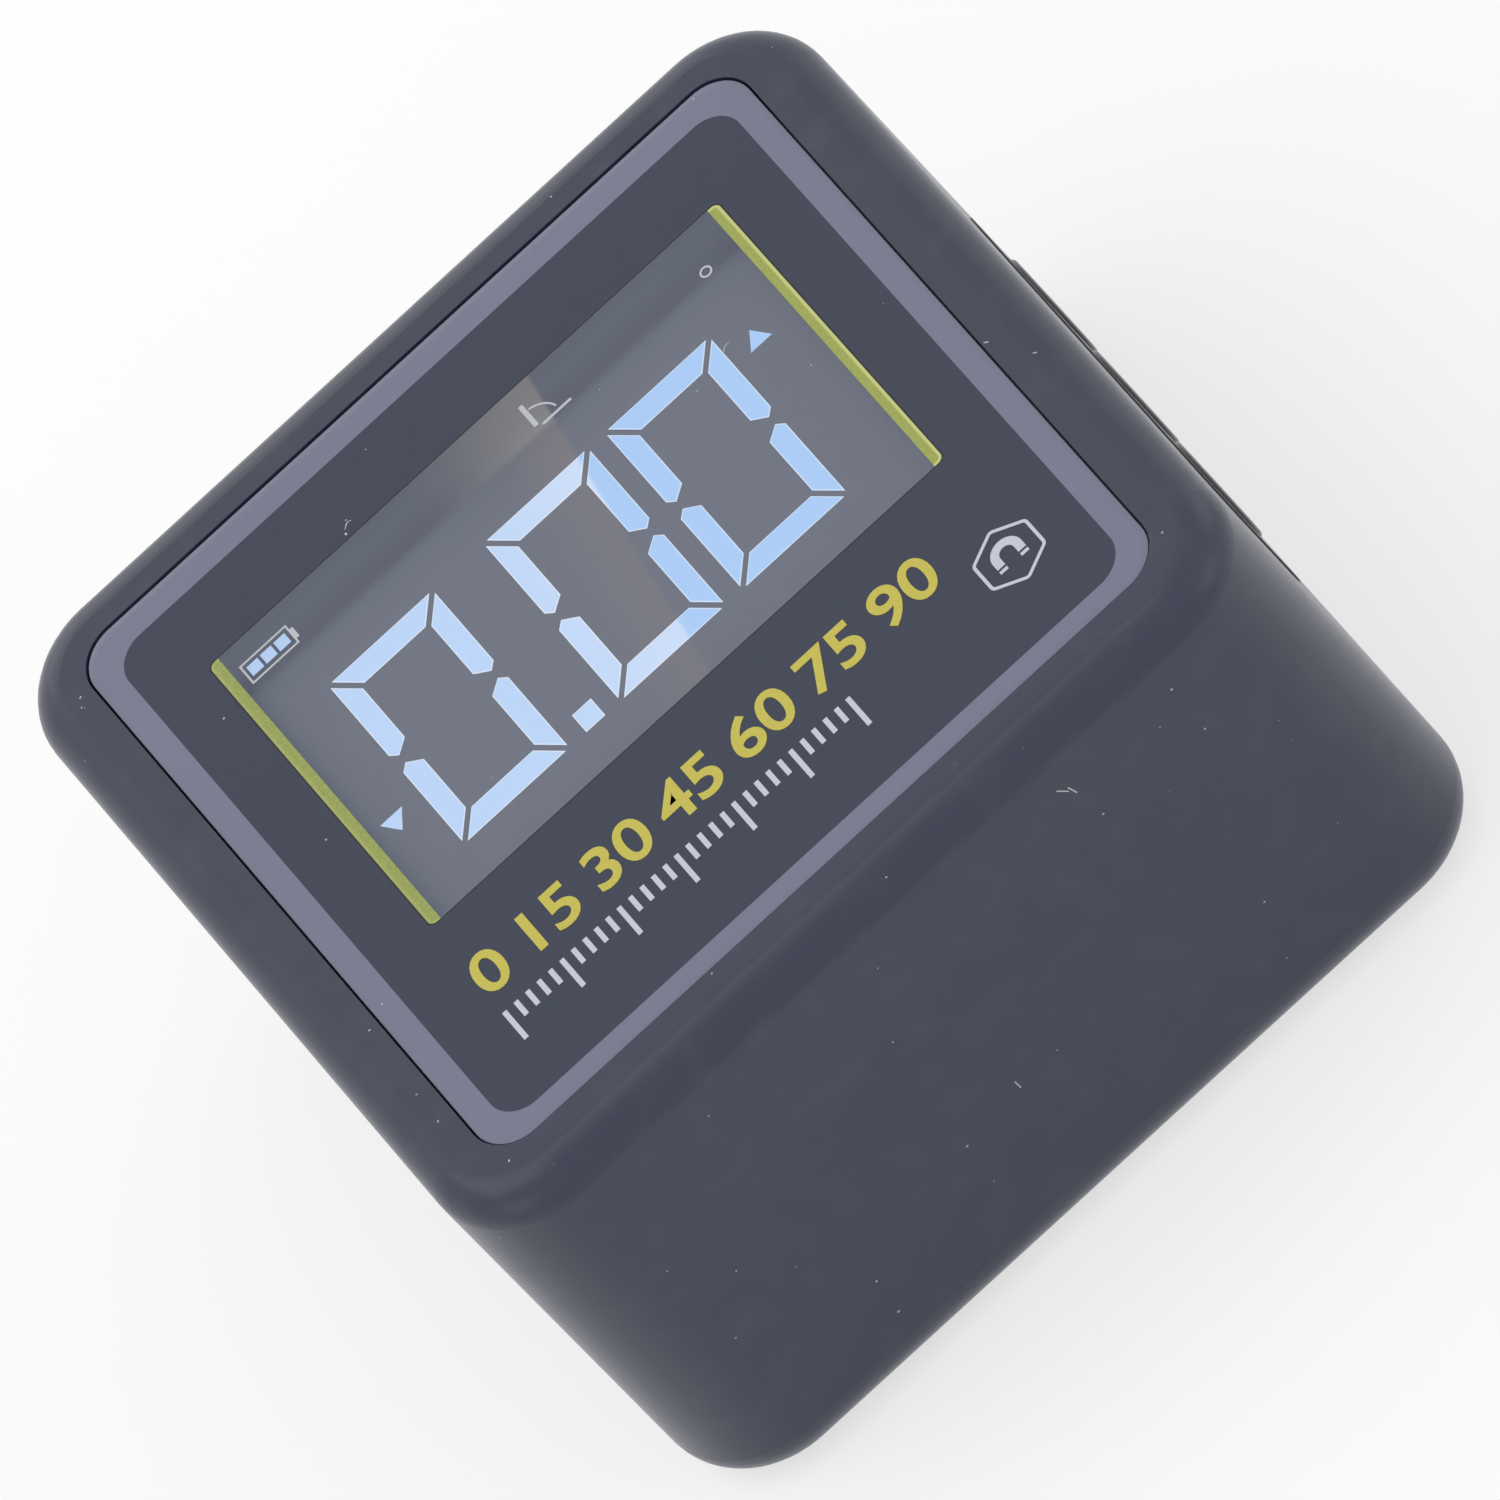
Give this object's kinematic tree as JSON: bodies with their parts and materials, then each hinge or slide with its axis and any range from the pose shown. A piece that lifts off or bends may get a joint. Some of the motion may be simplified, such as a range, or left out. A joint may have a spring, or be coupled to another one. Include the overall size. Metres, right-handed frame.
{
  "type": "digital angle gauge",
  "caption": "Pocket digital angle gauge: rounded square plastic case with a flush display panel, push keys on one side, a charging socket and a magnetic base.",
  "frame": {"origin": "middle of the rear face, on the plane that the gauge lies on", "axes": "+Z is the display's normal, +Y points to the top of the display, -Y is the magnetic base, +X is the key side"},
  "size_m": [0.0543, 0.054, 0.03],
  "materials": {
    "shell": "fine matte moulding",
    "cover": "fine matte moulding",
    "panel": "clear sheet printed from behind",
    "display_glass": "smooth",
    "tape": "plain",
    "light_guide": "clear moulding",
    "white_plastic": "plain moulding",
    "contact_rubber": "plain",
    "board": "solder mask",
    "chip": "plain",
    "small_parts": "plain",
    "screw_steel": "plain",
    "black_plastic": "plain moulding",
    "key_rubber": "matte",
    "key_strip": "matte",
    "cell_foil": "foil",
    "lead_sleeve": "plain",
    "socket_metal": "plain",
    "magnet_plating": "plated",
    "keeper_steel": "plain"
  },
  "bodies": {
    "case": {"housing": "shell", "rear_cover": "cover", "rear_screws": "screw_steel", "display_lens": "panel", "lens_tape": "tape", "lcd_glass": "display_glass", "lcd_backlight": "light_guide", "lcd_frame": "white_plastic", "lcd_strip": "contact_rubber", "main_board": "board", "controller_chip": "chip", "tilt_sensor": "chip", "board_parts": "small_parts", "board_screws": "screw_steel", "power_switch": "black_plastic", "hold_switch": "black_plastic", "zero_switch": "black_plastic", "key_panel": "key_strip", "battery_cell": "cell_foil", "battery_tape": "tape", "battery_socket": "white_plastic", "battery_leads": "lead_sleeve", "charge_shell": "socket_metal", "charge_tongue": "black_plastic", "base_magnets": "magnet_plating", "magnet_keeper": "keeper_steel"},
    "power_button": {"power_key": "key_rubber", "power_plunger": "white_plastic"},
    "hold_button": {"hold_key": "key_rubber", "hold_plunger": "white_plastic"},
    "zero_button": {"zero_key": "key_rubber", "zero_plunger": "white_plastic"}
  },
  "joints": [
    {"name": "power_press", "type": "slide", "parent": "case", "child": "power_button", "axis": [-1, 0, 0], "range_m": [0, 0.0003], "stiffness_N_per_m": 1500},
    {"name": "hold_press", "type": "slide", "parent": "case", "child": "hold_button", "axis": [-1, 0, 0], "range_m": [0, 0.0003], "stiffness_N_per_m": 1500},
    {"name": "zero_press", "type": "slide", "parent": "case", "child": "zero_button", "axis": [-1, 0, 0], "range_m": [0, 0.0003], "stiffness_N_per_m": 1500}
  ]
}
